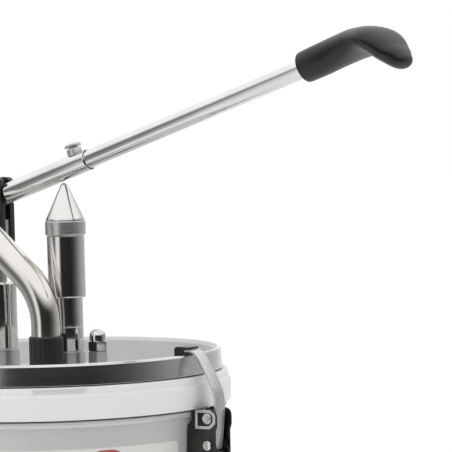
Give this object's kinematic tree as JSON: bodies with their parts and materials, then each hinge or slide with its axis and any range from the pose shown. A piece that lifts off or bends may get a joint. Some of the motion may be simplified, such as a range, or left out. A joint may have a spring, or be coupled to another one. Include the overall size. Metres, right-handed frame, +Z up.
{
  "type": "condiment pump dispenser",
  "caption": "Lever-action condiment pump on a recessed stainless lid, latched over a plastic food pail in a round steel container, with a swan-neck outlet spout.",
  "frame": {"origin": "centre of the container's flat bottom, on the surface it stands on", "axes": "+X towards the hand lever, +Z up, +Y away from the spout pipe"},
  "size_m": [0.486, 0.2632, 0.5008],
  "materials": {
    "polished_stainless": "polished",
    "satin_stainless": "satin brushed",
    "dark_steel": "dull",
    "white_plastic": "moulded",
    "black_plastic": "semi-gloss",
    "grip_plastic": "satin",
    "acetal": "machined",
    "seal_rubber": "matt"
  },
  "bodies": {
    "base": {"outer_container": "satin_stainless", "sauce_pail": "white_plastic", "lid_pan": "polished_stainless", "lid_gasket": "seal_rubber", "bridge_plate": "satin_stainless", "pillar_right": "satin_stainless", "pillar_left": "satin_stainless", "acorn_nut_right": "polished_stainless", "acorn_nut_left": "polished_stainless", "post_collar": "satin_stainless", "fulcrum_post": "polished_stainless", "fork_stem": "dark_steel", "fork_cheek_front": "black_plastic", "fork_cheek_back": "black_plastic", "fork_screw_lower": "satin_stainless", "fork_screw_upper": "satin_stainless", "pivot_pin": "satin_stainless", "pump_base": "satin_stainless", "guide_tube": "polished_stainless", "guide_bush": "acetal", "return_spring": "dark_steel", "pump_barrel": "satin_stainless", "valve_block": "satin_stainless", "suction_cage": "satin_stainless", "riser_tube": "satin_stainless", "outlet_union": "black_plastic", "spout_seal": "seal_rubber", "latch_base_right": "satin_stainless", "pivot_rivet_right_front": "polished_stainless", "pivot_rivet_right_back": "polished_stainless", "latch_base_left": "satin_stainless", "pivot_rivet_left_front": "polished_stainless", "pivot_rivet_left_back": "polished_stainless"},
    "plunger": {"plunger_cap": "polished_stainless", "cap_collar": "satin_stainless", "cap_cone": "polished_stainless", "piston_rod": "satin_stainless", "piston_body": "acetal", "piston_seal_upper": "seal_rubber", "piston_seal_lower": "seal_rubber", "piston_nut": "satin_stainless"},
    "lever": {"lever_tongue": "satin_stainless", "lever_sleeve": "polished_stainless", "clamp_boss": "satin_stainless"},
    "clamp": {"clamp_screw": "satin_stainless"},
    "arm": {"lever_rod": "polished_stainless", "hand_grip": "grip_plastic"},
    "spout": {"outlet_pipe": "polished_stainless", "spout_nozzle": "black_plastic"},
    "suction_valve": {"suction_ball": "dark_steel"},
    "discharge_valve": {"discharge_ball": "dark_steel"},
    "handle_right": {"latch_handle_right": "dark_steel", "strap_pin_right": "satin_stainless"},
    "strap_right": {"latch_strap_right": "satin_stainless", "hook_pad_right": "black_plastic"},
    "handle_left": {"latch_handle_left": "dark_steel", "strap_pin_left": "satin_stainless"},
    "strap_left": {"latch_strap_left": "satin_stainless", "hook_pad_left": "black_plastic"}
  },
  "joints": [
    {"name": "lever_press", "type": "hinge", "parent": "base", "child": "lever", "pos_m": [-0.046, 0, 0.3853], "axis": [0, 1, 0], "range_deg": [0, 29]},
    {"name": "plunger_stroke", "type": "slide", "parent": "base", "child": "plunger", "axis": [0, 0, -1], "range_m": [0, 0.0313], "stiffness_N_per_m": 800, "springref_m": -0.035, "deforming": ["return_spring"]},
    {"name": "arm_extension", "type": "slide", "parent": "lever", "child": "arm", "axis": [0.9511, 0, 0.309], "range_m": [-0.014, 0.02]},
    {"name": "clamp_turn", "type": "hinge", "parent": "lever", "child": "clamp", "pos_m": [0.02818, 0, 0.4094], "axis": [-0.309, 0, 0.9511], "range_deg": [0, 360]},
    {"name": "spout_swivel", "type": "hinge", "parent": "base", "child": "spout", "pos_m": [0.017, -0.03, 0.28], "axis": [0, 0, 1], "range_deg": [0, 60]},
    {"name": "suction_lift", "type": "slide", "parent": "base", "child": "suction_valve", "axis": [0, 0, 1], "range_m": [0, 0.004]},
    {"name": "discharge_lift", "type": "slide", "parent": "base", "child": "discharge_valve", "axis": [0, 0, 1], "range_m": [0, 0.004]},
    {"name": "latch_right_swing", "type": "hinge", "parent": "base", "child": "handle_right", "pos_m": [0.1423, 0, 0.2082], "axis": [0, -1, 0], "range_deg": [0, 100]},
    {"name": "strap_right_swing", "type": "hinge", "parent": "handle_right", "child": "strap_right", "pos_m": [0.1423, 0, 0.1997], "axis": [0, -1, 0], "range_deg": [-93, 0]},
    {"name": "latch_left_swing", "type": "hinge", "parent": "base", "child": "handle_left", "pos_m": [-0.1423, 0, 0.2082], "axis": [0, 1, 0], "range_deg": [0, 100]},
    {"name": "strap_left_swing", "type": "hinge", "parent": "handle_left", "child": "strap_left", "pos_m": [-0.1423, 0, 0.1997], "axis": [0, 1, 0], "range_deg": [-93, 0]}
  ],
  "couplings": [
    {"joint": "plunger_stroke", "follows": "lever_press", "m_per_rad": 0.0615},
    {"joint": "strap_right_swing", "follows": "latch_right_swing", "ratio": -0.93},
    {"joint": "strap_left_swing", "follows": "latch_left_swing", "ratio": -0.93}
  ]
}
